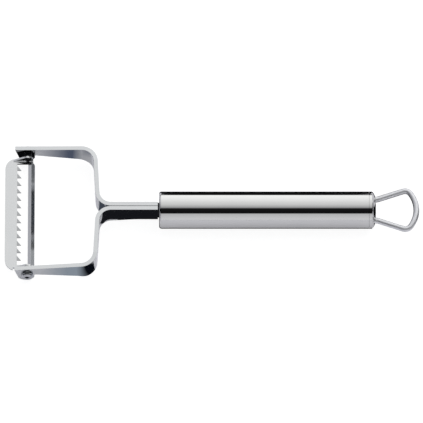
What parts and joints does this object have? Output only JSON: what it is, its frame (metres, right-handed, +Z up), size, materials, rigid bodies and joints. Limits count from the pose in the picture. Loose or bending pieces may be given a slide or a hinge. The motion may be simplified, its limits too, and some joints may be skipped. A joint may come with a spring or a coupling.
{
  "type": "julienne peeler",
  "caption": "Polished steel julienne peeler with a hollow round handle, a forked head, a swivelling toothed blade between its arms and a wire hanging loop.",
  "frame": {"origin": "at table height, below the middle of the peeler's length", "axes": "+X from the blade to the hanging loop along the handle, +Y across the head along the blade's swivel axis, +Z up from the table"},
  "size_m": [0.2006, 0.0692, 0.018],
  "materials": {
    "polished_steel": "mirror polished stainless steel",
    "blade_steel": "satin rolled stainless sheet",
    "plug_steel": "turned steel, left unpolished"
  },
  "bodies": {
    "frame": {"handle_tube": "polished_steel", "front_cap": "plug_steel", "rear_cap": "polished_steel", "hanging_loop": "polished_steel", "right_arm": "polished_steel", "left_arm": "polished_steel", "right_pivot_pin": "polished_steel", "left_pivot_pin": "polished_steel"},
    "blade": {"blade": "blade_steel"}
  },
  "joints": [
    {"name": "blade_swivel", "type": "hinge", "parent": "frame", "child": "blade", "pos_m": [-0.08943, 0, 0.0058], "axis": [0, 1, 0], "range_deg": [-25, 35]}
  ]
}
